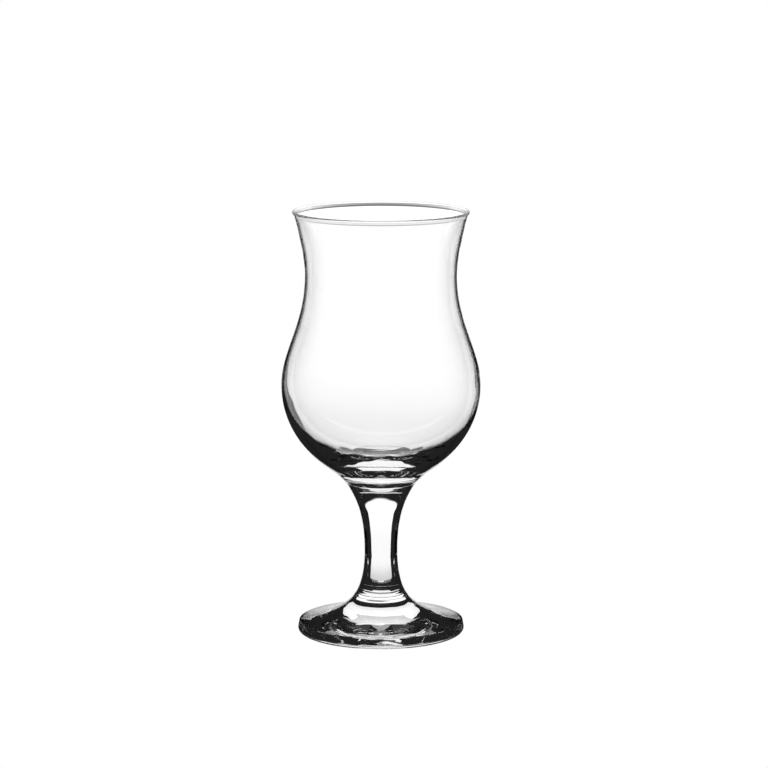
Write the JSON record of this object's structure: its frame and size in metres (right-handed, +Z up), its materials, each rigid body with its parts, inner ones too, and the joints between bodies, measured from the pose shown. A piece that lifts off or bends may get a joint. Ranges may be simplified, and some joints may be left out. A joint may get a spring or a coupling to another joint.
{
  "type": "stemmed cocktail glass",
  "caption": "Clear stemmed cocktail glass: a tulip bowl with a flared lip, waist and round belly on a short waisted stem and a round conical foot.",
  "frame": {"origin": "centre of the flat ring on which the foot stands, on the table's surface", "axes": "+Z up along the axis of the glass; X and Y lie in the table's surface and, as the glass is round, have no other meaning"},
  "size_m": [0.0818, 0.0818, 0.175],
  "materials": {
    "clear_glass": "fire-polished clear soda-lime glass, colourless, smooth and glossy"
  },
  "bodies": {
    "root": {"bowl": "clear_glass", "stem": "clear_glass", "foot": "clear_glass"}
  },
  "joints": []
}
